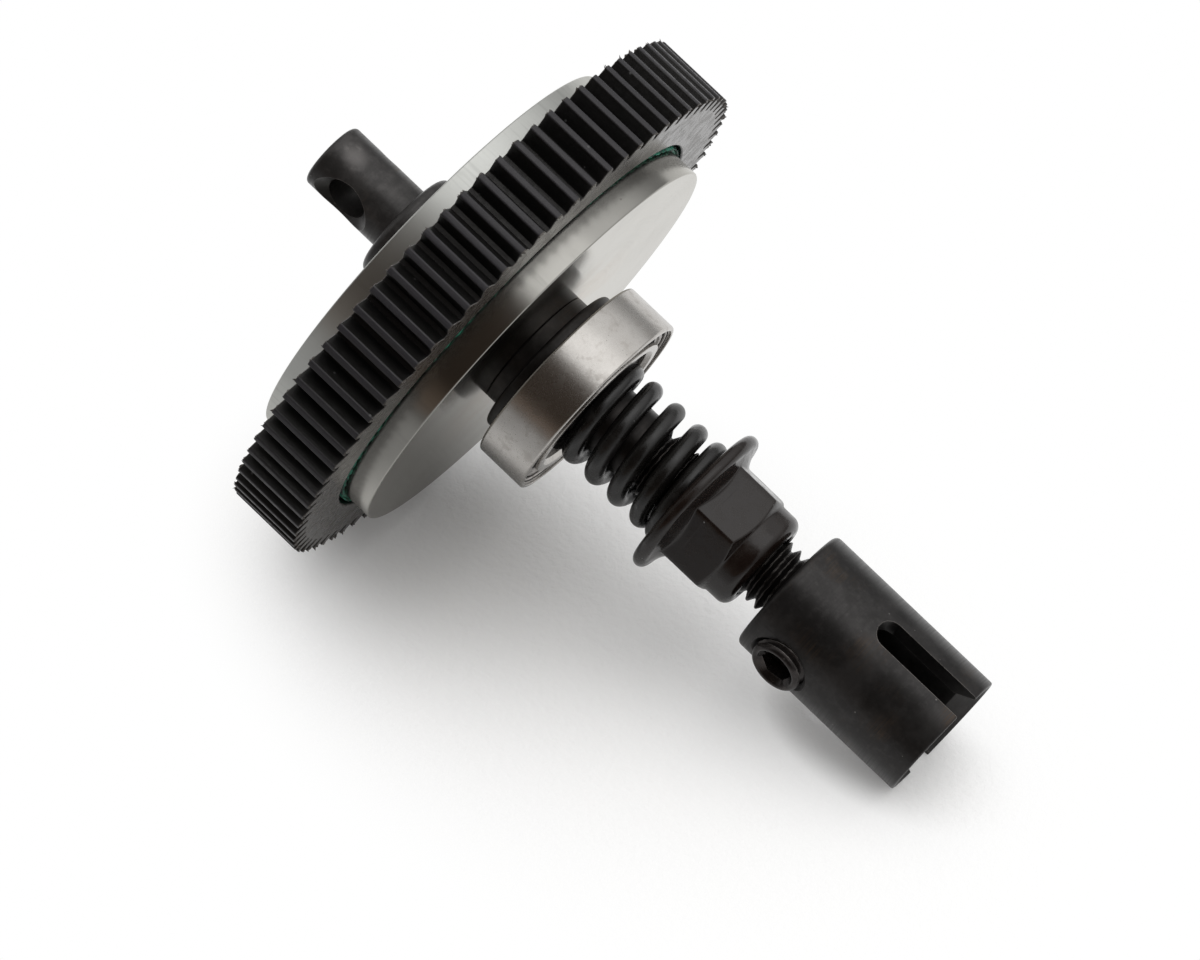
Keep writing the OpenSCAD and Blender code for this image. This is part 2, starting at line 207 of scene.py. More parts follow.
def smooth(piece, material, crease=35):
    """Smooth shading up to an angle, with flat faces kept flat, and the piece's material"""
    piece.data.shade_smooth()
    piece.data.set_sharp_from_angle(angle=math.radians(crease))
    flat = piece.modifiers.new("flat faces", "WEIGHTED_NORMAL")
    flat.keep_sharp = True
    piece.data.materials.clear()
    piece.data.materials.append(material)
    return piece


# Shader nodes, which every material is built from
def add(tree, kind, inputs=None, **settings):
    """A shader node, with its inputs set to values or linked to other nodes' sockets"""
    new = tree.nodes.new("ShaderNode" + kind)
    for key, value in settings.items():
        setattr(new, key, value)
    for key, value in (inputs or {}).items():
        if isinstance(value, bpy.types.NodeSocket):
            tree.links.new(value, new.inputs[key])
        else:
            new.inputs[key].default_value = value
    return new


def calc(tree, operation, *values):
    """One operation on values or sockets"""
    return add(tree, "Math", dict(enumerate(values)), operation=operation).outputs[0]


def vector(tree, operation, *values):
    """One operation on vectors, which gives a vector"""
    return add(tree, "VectorMath", dict(enumerate(values)), operation=operation).outputs["Vector"]


def measure(tree, operation, *values):
    """One operation on vectors, which gives a number"""
    return add(tree, "VectorMath", dict(enumerate(values)), operation=operation).outputs["Value"]


def times(tree, first, second):
    """Product of two values or sockets"""
    return calc(tree, "MULTIPLY", first, second)


def plus(tree, first, second):
    """Sum of two values or sockets"""
    return calc(tree, "ADD", first, second)


def parts(tree, place):
    """The three numbers of a vector"""
    return add(tree, "SeparateXYZ", {0: place}).outputs


def between(tree, value, low, high, start=0.0, end=1.0):
    """Map a value from one range onto another, with soft ends"""
    inputs = {"Value": value, "From Min": low, "From Max": high, "To Min": start, "To Max": end}
    return add(tree, "MapRange", inputs, interpolation_type="SMOOTHSTEP").outputs[0]


def mix(tree, share, first, second):
    """Mix two colours by a share"""
    colours = [(*c, 1) if isinstance(c, tuple) else c for c in (first, second)]
    return add(tree, "Mix", {0: share, 6: colours[0], 7: colours[1]}, data_type="RGBA").outputs[2]


def tint(tree, colour, mask, strength, other):
    """Mix another colour in where a mask has it, up to a strength"""
    return mix(tree, times(tree, mask, strength), colour, other)


def mix_value(tree, share, first, second):
    """Mix two numbers by a share"""
    return add(tree, "Mix", {0: share, 2: first, 3: second}).outputs[0]


def noise(tree, place, scale, detail, roughness):
    """Soft noise at a place"""
    inputs = {"Vector": place, "Scale": scale, "Detail": detail, "Roughness": roughness}
    return add(tree, "TexNoise", inputs).outputs[0]


def link(tree, sockets, **values):
    """Link the named inputs of a shader or a group to the sockets made for them"""
    for key, value in values.items():
        tree.links.new(value, sockets[key.replace("_", " ")])


def effect(name, inputs, outputs):
    """An empty node group with named inputs and outputs, and its two end nodes"""
    tree = bpy.data.node_groups.new(name, "ShaderNodeTree")
    for label, value in inputs.items():
        socket = tree.interface.new_socket(name=label, in_out="INPUT", socket_type="NodeSocketFloat")
        socket.default_value = value
    for label, kind in outputs.items():
        tree.interface.new_socket(name=label, in_out="OUTPUT", socket_type="NodeSocket" + kind)
    return tree, tree.nodes.new("NodeGroupInput").outputs, tree.nodes.new("NodeGroupOutput").inputs


def use(tree, group, **inputs):
    """Place a node group in a material, with its own values, and give its outputs or its only one"""
    new = tree.nodes.new("ShaderNodeGroup")
    new.node_tree = group
    for key, value in inputs.items():
        new.inputs[key.replace("_", " ").capitalize()].default_value = value
    return new.outputs if len(new.outputs) > 1 else new.outputs[0]


# Where a point of the surface is: its place in the upright frame, its height and its radius
places, _, out = effect("shaft_places", {}, {"Place": "Vector", "Along": "Float", "Out": "Float"})
mapped = add(places, "Mapping", {
    "Vector": add(places, "TexCoord").outputs["Object"],
    "Rotation": upright.inverted().to_euler(),
    "Scale": (1000, 1000, 1000),
}).outputs[0]
split = parts(places, mapped)
squares = [times(places, split[i], split[i]) for i in ("X", "Y")]
link(places, out, Place=mapped, Along=split["Z"], Out=calc(places, "SQRT", plus(places, *squares)))

# Fine marks that a cutting tool leaves round a turned piece, on its sides and its faces alike
marks, given, out = effect("turned_marks", {"Per mm": 8.0, "Wander": 0.05}, {"Height": "Float"})
where = use(marks, places)
split = parts(marks, where["Place"])
slanted = plus(marks, split["X"], times(marks, split["Y"], 1.7))
lines = add(marks, "CombineXYZ", {
    "X": times(marks, where["Along"], given["Per mm"]),
    "Y": times(marks, where["Out"], given["Per mm"]),
    "Z": times(marks, slanted, given["Wander"]),
}).outputs[0]
link(marks, out, Height=noise(marks, lines, 1.0, 3.0, 0.6))

# Blotches where a finish is uneven
blotches, given, out = effect("blotches", {"Per mm": 0.5, "Low": 0.4, "High": 0.65}, {"Share": "Float"})
cloud = noise(blotches, use(blotches, places)["Place"], given["Per mm"], 5.0, 0.6)
link(blotches, out, Share=between(blotches, cloud, given["Low"], given["High"]))

# Small specks of dust, or pits
specks, given, out = effect("specks", {"Per mm": 1.2, "Size": 0.12, "Kept": 0.7}, {"Share": "Float"})
cells = add(specks, "TexVoronoi", {"Vector": use(specks, places)["Place"], "Scale": given["Per mm"]})
near = calc(specks, "LESS_THAN", cells.outputs["Distance"], given["Size"])
chosen = parts(specks, cells.outputs["Color"])["X"]
kept = calc(specks, "GREATER_THAN", chosen, given["Kept"])
link(specks, out, Share=times(specks, near, kept))

# Edges, where handling has rubbed the finish: a bevelled normal differs from the true one there
edges, given, out = effect("worn_edges", {"Width": 0.06, "Patchy": 0.5}, {"Share": "Float"})
soft = add(edges, "Bevel", {"Radius": times(edges, given["Width"], 0.001)}, samples=6).outputs[0]
alike = measure(edges, "DOT_PRODUCT", soft, add(edges, "NewGeometry").outputs["Normal"])
bent = between(edges, calc(edges, "SUBTRACT", 1.0, alike), 0.01, 0.18)
patches = noise(edges, use(edges, places)["Place"], 1.4, 4.0, 0.7)
least = calc(edges, "SUBTRACT", given["Patchy"], 0.15)
patches = between(edges, patches, least, plus(edges, given["Patchy"], 0.1))
link(edges, out, Share=times(edges, bent, patches))


def finish(name, colour, metallic, roughness, **sockets):
    """A material with a Principled shader, ready for its own nodes"""
    material = bpy.data.materials.new(name)
    material.use_nodes = True
    shader = material.node_tree.nodes["Principled BSDF"].inputs
    values = {"Base Color": (*colour, 1), "Metallic": metallic, "Roughness": roughness, **sockets}
    for key, value in values.items():
        shader[key.replace("_", " ")].default_value = value
    return material, material.node_tree, shader


def toned(colour, *by):
    """A colour made lighter or darker, by one factor or by one for each of red, green and blue"""
    return tuple(c * f for c, f in zip(colour, by * 3))


def bumped(tree, height, depth, edge=0.0):
    """Normal of a surface with fine relief of a depth in millimetres, and softened edges"""
    inputs = {"Height": height, "Strength": 1.0, "Distance": depth / 1000}
    if edge:
        inputs["Normal"] = add(tree, "Bevel", {"Radius": edge / 1000}, samples=6).outputs[0]
    return add(tree, "Bump", inputs).outputs[0]


def blackened(name, tone, roughness, mottle, metallic=0.75, sheen_spot=None):
    """Black oxide on turned steel: satin, a little brown, mottled, rubbed lighter at the edges, with a
    painted sheen round an optional spot
    """
    material, tree, shader = finish(name, tone, metallic, roughness)
    turning = use(tree, marks, per_mm=9.0, wander=0.03)
    uneven = use(tree, blotches, per_mm=mottle, low=0.42, high=0.72)
    rubbed = use(tree, edges, width=0.09, patchy=0.42)
    dust = use(tree, specks, per_mm=1.1, size=0.07, kept=0.75)
    paler = toned(tone, 2.1)
    colour = tint(tree, tone, uneven, 0.75, paler)
    colour = tint(tree, colour, turning, 0.35, toned(tone, 0.55))
    fine = use(tree, blotches, per_mm=2.2, low=0.45, high=0.75)
    colour = tint(tree, colour, fine, 0.4, paler)
    warm = use(tree, blotches, per_mm=0.22, low=0.52, high=0.68)
    warm = times(tree, warm, between(tree, turning, 0.4, 0.65))
    colour = tint(tree, colour, warm, 0.7, toned(tone, 2.3, 1.7, 1.2))
    # A painted sheen: a paler patch, in blotches, round the given spot
    if sheen_spot:
        away = measure(tree, "DISTANCE", use(tree, places)["Place"], sheen_spot)
        haze = times(tree, between(tree, away, 1.3, 0.2), between(tree, uneven, 0.0, 0.6, 0.4, 1.0))
        colour = mix(tree, haze, colour, toned(tone, 5.5))
    colour = tint(tree, colour, rubbed, 0.55, (0.3, 0.28, 0.26))
    colour = tint(tree, colour, dust, 0.35, (0.25, 0.24, 0.23))
    rough = between(tree, turning, 0.2, 0.8, roughness - 0.07, roughness + 0.08)
    rough = plus(tree, rough, times(tree, uneven, 0.06))
    link(tree, shader, Base_Color=colour, Roughness=rough, Normal=bumped(tree, turning, 0.004, 0.03))
    return material


# The spot on the shaft's bare end where a sheen is painted
painted_sheen_spot = (-2.48, -0.31, -21.6)
shaft_black = blackened("black_oxide_shaft", (0.033, 0.031, 0.03), 0.36, 0.6, 0.5, painted_sheen_spot)

tail_end, shaft_end, collar_r = reach("shaft")
rear_plate_back, rear_plate_front, plate_r = reach("rear_plate")
front_plate_back, front_plate_front, _ = reach("front_plate")
shaft_r = mounts["input_shaft_end"]["dims"]["r_mm"]
hole_r = mounts["cross_hole"]["dims"]["r_mm"]
hole_z = (stood_up @ Vector(mounts["cross_hole"]["pos_m"])).z
collar_length = 2.7
collar_back = rear_plate_back - collar_length
sink_r = 2.35
key_r = 3.5
key_half = 3.0
key_short = 0.5
thread_start = 5.9
thread_pitch = 0.8
thread_depth = 0.5
thread_crest = 0.06
thread_flank = 0.36
thread_rows = 16
thread_end = shaft_end - 0.4
shaft_end_r = shaft_r - 0.45
shaft_sides = 96
drill_sides = 64


def flatted(gap):
    """Radius of the round section with two flats, at each angle"""
    return lambda a: min(key_r + gap, (key_half + gap) / max(abs(math.cos(a)), 0.01))


def threaded(crest, pitch, depth, height):
    """Radius of a right-handed thread at each angle, at one height along the shaft"""
    def radius(a):
        phase = (height / pitch - a / math.tau) % 1
        down = (min(phase, 1 - phase) - thread_crest) / thread_flank
        return crest - depth * min(max(down, 0), 1)
    return radius


outline = rounded([
    (0, tail_end, 0), (shaft_r, tail_end, 0.31), (shaft_r, collar_back, 0.1),
    (collar_r, collar_back, 0.5), (collar_r, rear_plate_back, 0.05), (0, rear_plate_back, 0),
])[:-1]
key_top = front_plate_front - key_short
outline += [(flatted(0), rear_plate_back), (flatted(0), key_top), (shaft_r, key_top), (shaft_r, thread_start)]
steps = math.ceil((thread_end - thread_start) / thread_pitch * thread_rows)
for i in range(steps + 1):
    z = thread_start + (thread_end - thread_start) * i / steps
    fade = min(1, (z - thread_start) / thread_pitch)
    outline.append((threaded(shaft_r, thread_pitch, thread_depth * fade, z), z))
outline += [(shaft_end_r, shaft_end), (0, shaft_end)]
shaft = turned("turned_shaft", outline, shaft_sides, closed=False)

to_hole = Matrix.Translation((0, 0, hole_z)) @ Matrix.Rotation(math.radians(90), 4, "X")
sink = sink_r - hole_r
beyond = 0.6
hole = turned("cross_drill", [
    (0, -shaft_r - 1), (hole_r, -shaft_r - 1), (hole_r, shaft_r - sink), (sink_r, shaft_r),
    (sink_r + beyond, shaft_r + beyond), (0, shaft_r + beyond),
], drill_sides, closed=False, place=to_hole)
carve(shaft, hole)
break_edges(shaft, 0.05, lambda p: tail_end + 0.3 < p.z < collar_back - 0.3)
smooth(shaft, shaft_black)
# Faces past the bearing's middle get a darker copy of the black oxide: painted shade, for the thread that
# lies in shadow inside the spring.
shaft.data.materials.append(blackened("black_oxide_thread", (0.016, 0.014, 0.013), 0.36, 0.8))
for face in shaft.data.polygons:
    face.material_index = int((stood_up @ face.center).z > 0)
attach(shaft, "rotor")
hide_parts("shaft")

# Pressure plates
# Two discs of steel that squeeze the gear between them. Each is turned on both faces and on its
# rim, left bare, and turns with the shaft by its flatted hole.
def drawn_out(tree, place, across, along):
    """A place scaled by one number across the shaft and by another along it"""
    split = parts(tree, place)
    scaled = {i: times(tree, split[i], by) for i, by in (("X", across), ("Y", across), ("Z", along))}
    return add(tree, "CombineXYZ", scaled).outputs[0]


def bare_steel(name, tone, rim_roughness, marked):
    """Turned steel, with its face finer than its rim, and chatter marks across part of the rim"""
    material, tree, shader = finish(name, tone, 1.0, 0.15, Specular_Tint=(0.96, 0.95, 0.925, 1))
    where = use(tree, places)
    rim = between(tree, where["Out"], plate_r - 0.1, plate_r - 0.02)
    face = calc(tree, "SUBTRACT", 1.0, rim)
    fine = use(tree, marks, per_mm=5.5, wander=0.015)
    chatter = use(tree, marks, per_mm=0.9, wander=1.6)
    cloudy = use(tree, blotches, per_mm=0.16, low=0.3, high=0.75)
    rubbed = use(tree, edges, width=0.12, patchy=0.3)
    dots = use(tree, specks, per_mm=0.9, size=0.07, kept=0.7)
    ticks = noise(tree, drawn_out(tree, where["Place"], 2.6, 0.2), 1.0, 2.0, 0.5)
    ticks = times(tree, between(tree, ticks, 0.5, 0.7), rim)
    ticks = times(tree, ticks, use(tree, blotches, per_mm=0.12, low=0.45, high=0.58))
    warm = times(tree, between(tree, where["Out"], 10.5, 5.5), face)
    warm = times(tree, warm, use(tree, blotches, per_mm=0.3, low=0.35, high=0.6))
    colour = tint(tree, tone, cloudy, 0.5, toned(tone, 0.87))
    colour = tint(tree, colour, warm, 0.4, toned(tone, 0.95, 0.7, 0.5))
    colour = tint(tree, colour, ticks, marked, toned(tone, 0.6))
    colour = tint(tree, colour, rubbed, 0.45, (0.72, 0.73, 0.71))
    colour = tint(tree, colour, dots, 0.6, (0.14, 0.12, 0.11))
    rough = mix_value(tree, rim, between(tree, fine, 0.2, 0.8, 0.09, 0.14), rim_roughness)
    rough = plus(tree, rough, times(tree, cloudy, 0.05))
    relief = times(tree, plus(tree, fine, times(tree, chatter, 0.5)), face)
    link(tree, shader, Base_Color=colour, Roughness=rough, Normal=bumped(tree, relief, 0.0015, 0.03))
    return material


plate_sides = 288
plate_bevel = 0.12
sliding_gap = 0.015
for name, node, low, high, steel in (
    ("rear_pressure_plate", "rear_plate", rear_plate_back, rear_plate_front,
     bare_steel("rear_plate_steel", (0.56, 0.565, 0.54), 0.36, 0.3)),
    ("front_pressure_plate", "front_plate", front_plate_back, front_plate_front,
     bare_steel("front_plate_steel", (0.36, 0.352, 0.328), 0.17, 0.2)),
):
    outline = rounded([
        (key_r, low, 0), (plate_r, low, plate_bevel), (plate_r, high, plate_bevel), (key_r, high, 0),
    ])
    outline = [p for p in outline if p[0] > key_r]
    outline += [(flatted(sliding_gap), high), (flatted(sliding_gap), low)]
    plate = turned(name, outline, plate_sides)
    smooth(plate, steel)
    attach(plate, "rotor")
    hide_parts(node)

# Gear
# A wheel moulded in black plastic, whose 78 fine teeth were cut and left with a little flash. Both
# faces are recessed for a friction pad and the edge of a plate, and its hole turns on a bush.
gear_back, gear_front, tip_r = reach("spur_gear")
tip_clearance = 0.003
tip_r -= tip_clearance
teeth = 78
gear_module = 0.52917
pressure_angle = math.radians(20)
pitch_r = teeth * gear_module / 2
root_r = pitch_r - 1.25 * gear_module
base_r = pitch_r * math.cos(pressure_angle)
recess_r = 16.7
recess_depth = 1.25
recess_chamfer = 0.1
gear_bevel = 0.04
flank_steps = 7
tip_round = 0.16
root_fillet = 0.05
face_land = 0.12
flash_height = 0.12
burr_chance = 0.03
_, _, bush_r = reach("gear_bush")

plastic, tree, shader = finish(
    "black_gear_plastic", (0.009, 0.009, 0.01), 0.0, 0.42,
    Specular_IOR_Level=0.36, Specular_Tint=(1.0, 0.98, 0.96, 1),
)
where = use(tree, places)
streaks = noise(tree, drawn_out(tree, where["Place"], 7.0, 0.25), 1.0, 3.0, 0.6)
scraped = use(tree, blotches, per_mm=2.4, low=0.38, high=0.66)
facing = between(tree, where["Along"], gear_front - 0.06, gear_front - 0.01)
facing = calc(tree, "MAXIMUM", facing, between(tree, where["Along"], gear_back + 0.06, gear_back + 0.01))
# The teeth's tips are coloured lighter and a little blue: a painted highlight along the crests
tips = between(tree, where["Out"], tip_r - 0.12, tip_r)
dust = use(tree, specks, per_mm=1.0, size=0.1, kept=0.8)
colour = mix(tree, tips, (0.0055, 0.0052, 0.005), (0.023, 0.022, 0.025))
smeared = use(tree, blotches, per_mm=1.1, low=0.36, high=0.7)
face = mix(tree, scraped, (0.038, 0.034, 0.031), (0.07, 0.063, 0.057))
face = tint(tree, face, smeared, 0.6, (0.085, 0.074, 0.065))
colour = mix(tree, facing, colour, face)
colour = tint(tree, colour, dust, 0.4, (0.12, 0.12, 0.12))
dull = between(tree, scraped, 0.0, 1.0, 0.38, 0.5)
rough = mix_value(tree, facing, dull, between(tree, smeared, 0.0, 1.0, 0.22, 0.34))
scuffs = use(tree, blotches, per_mm=2.6, low=0.2, high=0.85)
relief = mix(tree, facing, streaks, times(tree, scuffs, 0.4))
link(tree, shader, Base_Color=colour, Roughness=rough, Normal=bumped(tree, relief, 0.015, 0.02))


def involute(angle):
    """How far an involute has turned away from its base circle, at a pressure angle"""
    return math.tan(angle) - angle


def half_tooth(radius):
    """Half the angle that a tooth fills at a radius, from the involute of its base circle"""
    at = math.acos(min(1, base_r / radius))
    return math.pi / 2 / teeth + involute(pressure_angle) - involute(at)


tooth_shape = []
for side in (-1, 1):
    half = [(root_r, half_tooth(root_r + root_fillet) + root_fillet / root_r)]
    for i in range(flank_steps + 1):
        r = root_r + root_fillet + (tip_r - tip_round - root_r - root_fillet) * i / flank_steps
        half.append((r, half_tooth(r)))
    for i in (1, 2, 3, 4):
        b = math.radians(22 * i)
        r = tip_r - tip_round * (1 - math.sin(b))
        half.append((r, half_tooth(tip_r - tip_round) - tip_round * (1 - math.cos(b)) / r))
    half = [(r, side * a) for r, a in half]
    tooth_shape += half if side < 0 else half[::-1]
tooth_shape.insert(len(tooth_shape) // 2, (tip_r, 0))
gear_outline = []
for tooth in range(teeth):
    for r, a in tooth_shape:
        a += math.tau * (tooth + 0.5) / teeth
        gear_outline.append(Vector((r * math.cos(a), r * math.sin(a))))


def drawn_in(outline, distance):
    """The outline moved inward by a distance, for the bevel at its edge"""
    moved = []
    for before, here, after in zip(outline[-1:] + outline[:-1], outline, outline[1:] + outline[:1]):
        course = (after - before).normalized()
        moved.append(here + Vector((-course.y, course.x)) * distance)
    return moved


def level(outline, height, flash=0.0):
    """The outline at a height, with ragged flash and a few burrs on the teeth's tips"""
    points = []
    for p in outline:
        up = flash * random.random() ** 3 if p.length > tip_r - 0.35 else 0
        stretch = 1.0
        if flash and p.length > tip_r - 0.3 and random.random() < burr_chance:
            up = flash * random.uniform(0.8, 1.8)
            stretch += random.uniform(0.002, 0.009)
        points.append(Vector((p.x * stretch, p.y * stretch, height + up)))
    return points


def circle(radius, height):
    """A circle with its points at the same angles as the gear's outline"""
    return [Vector((*(p.normalized() * radius), height)) for p in gear_outline]


recess = [
    (root_r - face_land, 0), (recess_r + recess_chamfer, 0), (recess_r, recess_chamfer),
    (recess_r, recess_depth), (bush_r, recess_depth),
]
random.seed(11)
bevelled = drawn_in(gear_outline, gear_bevel)
gear = skinned("toothed_wheel", [
    level(bevelled, gear_back, -flash_height),
    level(gear_outline, gear_back + gear_bevel),
    level(gear_outline, gear_front - gear_bevel),
    level(bevelled, gear_front, flash_height),
    level(drawn_in(gear_outline, 0.1), gear_front),
    *[circle(r, gear_front - depth) for r, depth in recess],
    *[circle(r, gear_back + depth) for r, depth in recess[::-1]],
    level(drawn_in(gear_outline, 0.1), gear_back),
], closed=True)
gear_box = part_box("spur_gear")
for vertex in gear.data.vertices:
    vertex.co = [min(max(at, low), high) for at, low, high in zip(vertex.co, *gear_box)]
smooth(gear, plastic, crease=30)
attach(gear, "gear")
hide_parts("spur_gear")

# Bush
# A plain sleeve of sintered bronze, pressed into the gear, that turns on the shaft.
bronze, tree, shader = finish("sintered_bronze", (0.45, 0.3, 0.14), 1.0, 0.45)
grain = use(tree, blotches, per_mm=6.0, low=0.35, high=0.7)
colour = mix(tree, grain, (0.45, 0.3, 0.14), (0.3, 0.19, 0.09))
link(tree, shader, Base_Color=colour, Normal=bumped(tree, grain, 0.01))
frame["nodes"]["gear_bush"].data.materials[0] = bronze

# Friction pads
# Two rings of green friction material, stamped from sheet, one under each plate. Only their edge
# shows, where it sticks out unevenly past the plate in the gear's recess.
pad_green, tree, shader = finish("green_friction_sheet", (0.03, 0.26, 0.16), 0.0, 0.55)
grime = use(tree, blotches, per_mm=0.55, low=0.5, high=0.6)
grain = use(tree, blotches, per_mm=7.0, low=0.3, high=0.7)
colour = mix(tree, grain, (0.03, 0.3, 0.19), (0.02, 0.17, 0.11))
colour = mix(tree, grime, colour, (0.008, 0.02, 0.016))
link(tree, shader, Base_Color=colour, Normal=bumped(tree, grain, 0.02))

random.seed(7)
waves = [(n, random.uniform(0, math.tau), random.uniform(0.4, 1)) for n in (2, 3, 5, 8, 13, 34, 89)]


def wander(a, start=0.0):
    """A wavy line round the pad's edge, between about -1 and 1"""
    return sum(w * math.sin(n * (a + start) + turn) for n, turn, w in waves) / 2.4


pad_hole_r = 7.0
pad_sides = 720
ragged = 0.06
for name, node, up in (("rear_pad", "rear_friction_pad", -1), ("front_pad", "front_friction_pad", 1)):
    low, high, pad_r = reach(node)
    bottom, top = (low, high) if up > 0 else (high, low)

    def edge(a):
        """Radius of the pad's ragged edge"""
        return pad_r - ragged - ragged * abs(wander(a))

    def lip(share, height):
        """Points of the fibres that stand up along the recess, where they were squeezed out"""
        def run(a):
            return plate_r + 0.04 + (edge(a) - plate_r - 0.05) * share
        points = []
        for p in ring(run, top, pad_sides):
            a = math.atan2(p.y, p.x)
            rise = height * min(max(0.17 + 0.12 * wander(a, 1.0), 0.02), 0.31)
            points.append(p + Vector((0, 0, up * rise)))
        return points

    pad = skinned(name, [
        ring(pad_hole_r, bottom, pad_sides), ring(edge, bottom, pad_sides), ring(edge, top, pad_sides),
        lip(0.9, 1.0), lip(0.65, 0.9), lip(0.45, 0.0),
        ring(plate_r + 0.03, top, pad_sides), ring(pad_hole_r, top, pad_sides),
    ], closed=True)
    smooth(pad, pad_green)
    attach(pad, "gear")
    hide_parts(node)

# Thrust hub
# A blackened spacer on the shaft: its neck presses on the front plate, its thin flange on the
# bearing's inner ring, and the barrel behind the flange fills the bearing's bore.
hub_back, hub_end, flange_r = reach("thrust_hub")
bearing_back, bearing_front, _ = reach("bearing_outer_race")
neck_r = 4.55
neck_length = 1.15
barrel_r = 4.985
hub = turned("flanged_hub", rounded([
    (shaft_r + sliding_gap, hub_back, 0), (neck_r, hub_back, 0.08), (neck_r, hub_back + neck_length, 0.15),
    (flange_r, hub_back + neck_length, 0.28), (flange_r, bearing_back, 0.06),
    (barrel_r, bearing_back, 0), (barrel_r, hub_end, 0.05), (shaft_r + sliding_gap, hub_end, 0),
]), sides=192)
smooth(hub, blackened("black_oxide_hub", (0.026, 0.024, 0.023), 0.36, 0.7))
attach(hub, "rotor")
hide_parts("thrust_hub")

# Ball bearing
# Two rings of hard steel, ground and a little stained, with twelve balls in a pressed cage between
# them. A thin shield on each side is held in its step by a snap wire with a gap in it.
# Colour of the painted shade in the bearing's grooves and gaps
painted_groove_shade = (0.02, 0.016, 0.013)
ground, tree, shader = finish("ground_bearing_steel", (0.53, 0.51, 0.485), 1.0, 0.27)
fine = use(tree, marks, per_mm=14.0, wander=0.25)
grain = use(tree, blotches, per_mm=4.5, low=0.25, high=0.8)
stain = use(tree, blotches, per_mm=1.1, low=0.5, high=0.72)
cloudy = use(tree, blotches, per_mm=0.35, low=0.35, high=0.7)
pits = use(tree, specks, per_mm=2.4, size=0.1, kept=0.75)
colour = tint(tree, (0.53, 0.51, 0.485), cloudy, 0.5, (0.44, 0.42, 0.395))
colour = tint(tree, colour, grain, 0.12, (0.4, 0.375, 0.35))
colour = tint(tree, colour, stain, 0.3, (0.26, 0.23, 0.2))
colour = tint(tree, colour, pits, 0.4, (0.1, 0.09, 0.085))
where = use(tree, places)
# Painted shade in the grooves below the rings' faces: dark, rough and not metal there
groove_shade_mask = between(tree, calc(tree, "ABSOLUTE", where["Along"]), 1.82, 1.75)
groove_shade_mask = times(tree, groove_shade_mask, between(tree, where["Out"], 7.4, 7.25))
groove_shade_mask = times(tree, groove_shade_mask, between(tree, where["Out"], 5.75, 5.85))
colour = mix(tree, groove_shade_mask, colour, painted_groove_shade)
metal = calc(tree, "SUBTRACT", 1.0, groove_shade_mask)
rough = plus(tree, between(tree, grain, 0.0, 1.0, 0.25, 0.28), times(tree, stain, 0.06))
rough = mix_value(tree, groove_shade_mask, rough, 0.65)
relief = bumped(tree, plus(tree, times(tree, fine, 0.4), grain), 0.0012, 0.03)
link(tree, shader, Base_Color=colour, Metallic=metal, Roughness=rough, Normal=relief)

bearing_r = mounts["bearing_seat"]["dims"]["r_mm"]
bore_r = 5.0
inner_ring_r = 5.88
outer_ring_r = 6.67
step_r = 7.06
mouth_step_r = 7.18
ledge = 0.2
bore_chamfer = 0.3
ball_path_r = 6.25
ball_r = 0.7
shield_step = 0.62
groove_r = ball_r + 0.03


def race_groove(shoulder):
    """Groove that the balls roll in, as points from the low side to the high one"""
    side = 1 if shoulder > ball_path_r else -1
    turn = math.acos(abs(shoulder - ball_path_r) / groove_r)
    return [
        (ball_path_r + side * groove_r * math.cos(a), groove_r * math.sin(a))
        for a in (turn * i / 8 for i in range(-8, 9))
    ]


def race(corners):
    """Outline of a ring from its corners (radius, depth, rounding) at one end, with its groove"""
    front = [(r, bearing_front - depth, bend) for r, depth, bend in corners]
    back = [(r, bearing_back + depth, bend) for r, depth, bend in corners[::-1]]
    return rounded(front + back) + race_groove(corners[0][0])


inner_ring = turned("bearing_inner_ring", race([
    (inner_ring_r, 0, 0.06), (bore_r + bore_chamfer, 0, 0.05), (bore_r, bore_chamfer, 0.05),
]), sides=160)
outer_ring = turned("bearing_outer_ring", race([
    (outer_ring_r, shield_step, 0.03), (step_r, shield_step, 0), (step_r, ledge, 0),
    (mouth_step_r, ledge, 0), (mouth_step_r, 0, 0.05), (bearing_r, 0, 0.2),
]), sides=224)
for piece, body, node in (
    (inner_ring, "rotor", "bearing_inner_race"), (outer_ring, "bearing_ring", "bearing_outer_race"),
):
    smooth(piece, ground)
    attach(piece, body)
    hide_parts(node)

sheet, tree, shader = finish("pressed_shield_sheet", (0.4, 0.38, 0.36), 1.0, 0.36)
fine = use(tree, marks, per_mm=8.0, wander=0.1)
stain = use(tree, blotches, per_mm=1.4, low=0.45, high=0.7)
where = use(tree, places)
# Painted shade in the shield's deeper parts: at its inner edge by the gap to the inner ring, and out toward
# its step
groove_shade_mask = between(tree, calc(tree, "ABSOLUTE", where["Along"]), 1.6, 1.52)
by_gap = between(tree, where["Out"], 6.14, 6.08)
groove_shade_mask = times(tree, groove_shade_mask, calc(tree, "MAXIMUM", by_gap, between(tree, where["Out"], 6.36, 6.4)))
colour = mix(tree, stain, (0.42, 0.4, 0.38), (0.24, 0.22, 0.2))
colour = mix(tree, groove_shade_mask, colour, painted_groove_shade)
metal = calc(tree, "SUBTRACT", 1.0, groove_shade_mask)
link(tree, shader, Base_Color=colour, Metallic=metal, Normal=bumped(tree, fine, 0.006, 0.02))
wire_w = 0.19
wire_half_height = 0.13
wire_depth = 0.38
wire_gap = math.radians(14)
gap_at = math.radians(252)
snap_steps = 120
snap_sides = 12
pressed = (
    (step_r - 0.02, shield_step, 0), (6.58, shield_step, 0), (6.54, 0.5, 0.03), (6.48, 0.5, 0.03),
    (6.42, 0.64, 0.03), (6.06, 0.64, 0.03), (6.06, 0.52, 0.03), (6.32, 0.52, 0.03),
    (6.38, 0.36, 0.04), (6.66, 0.36, 0.05), (6.69, 0.52, 0.02), (step_r - 0.02, 0.52, 0.03),
)
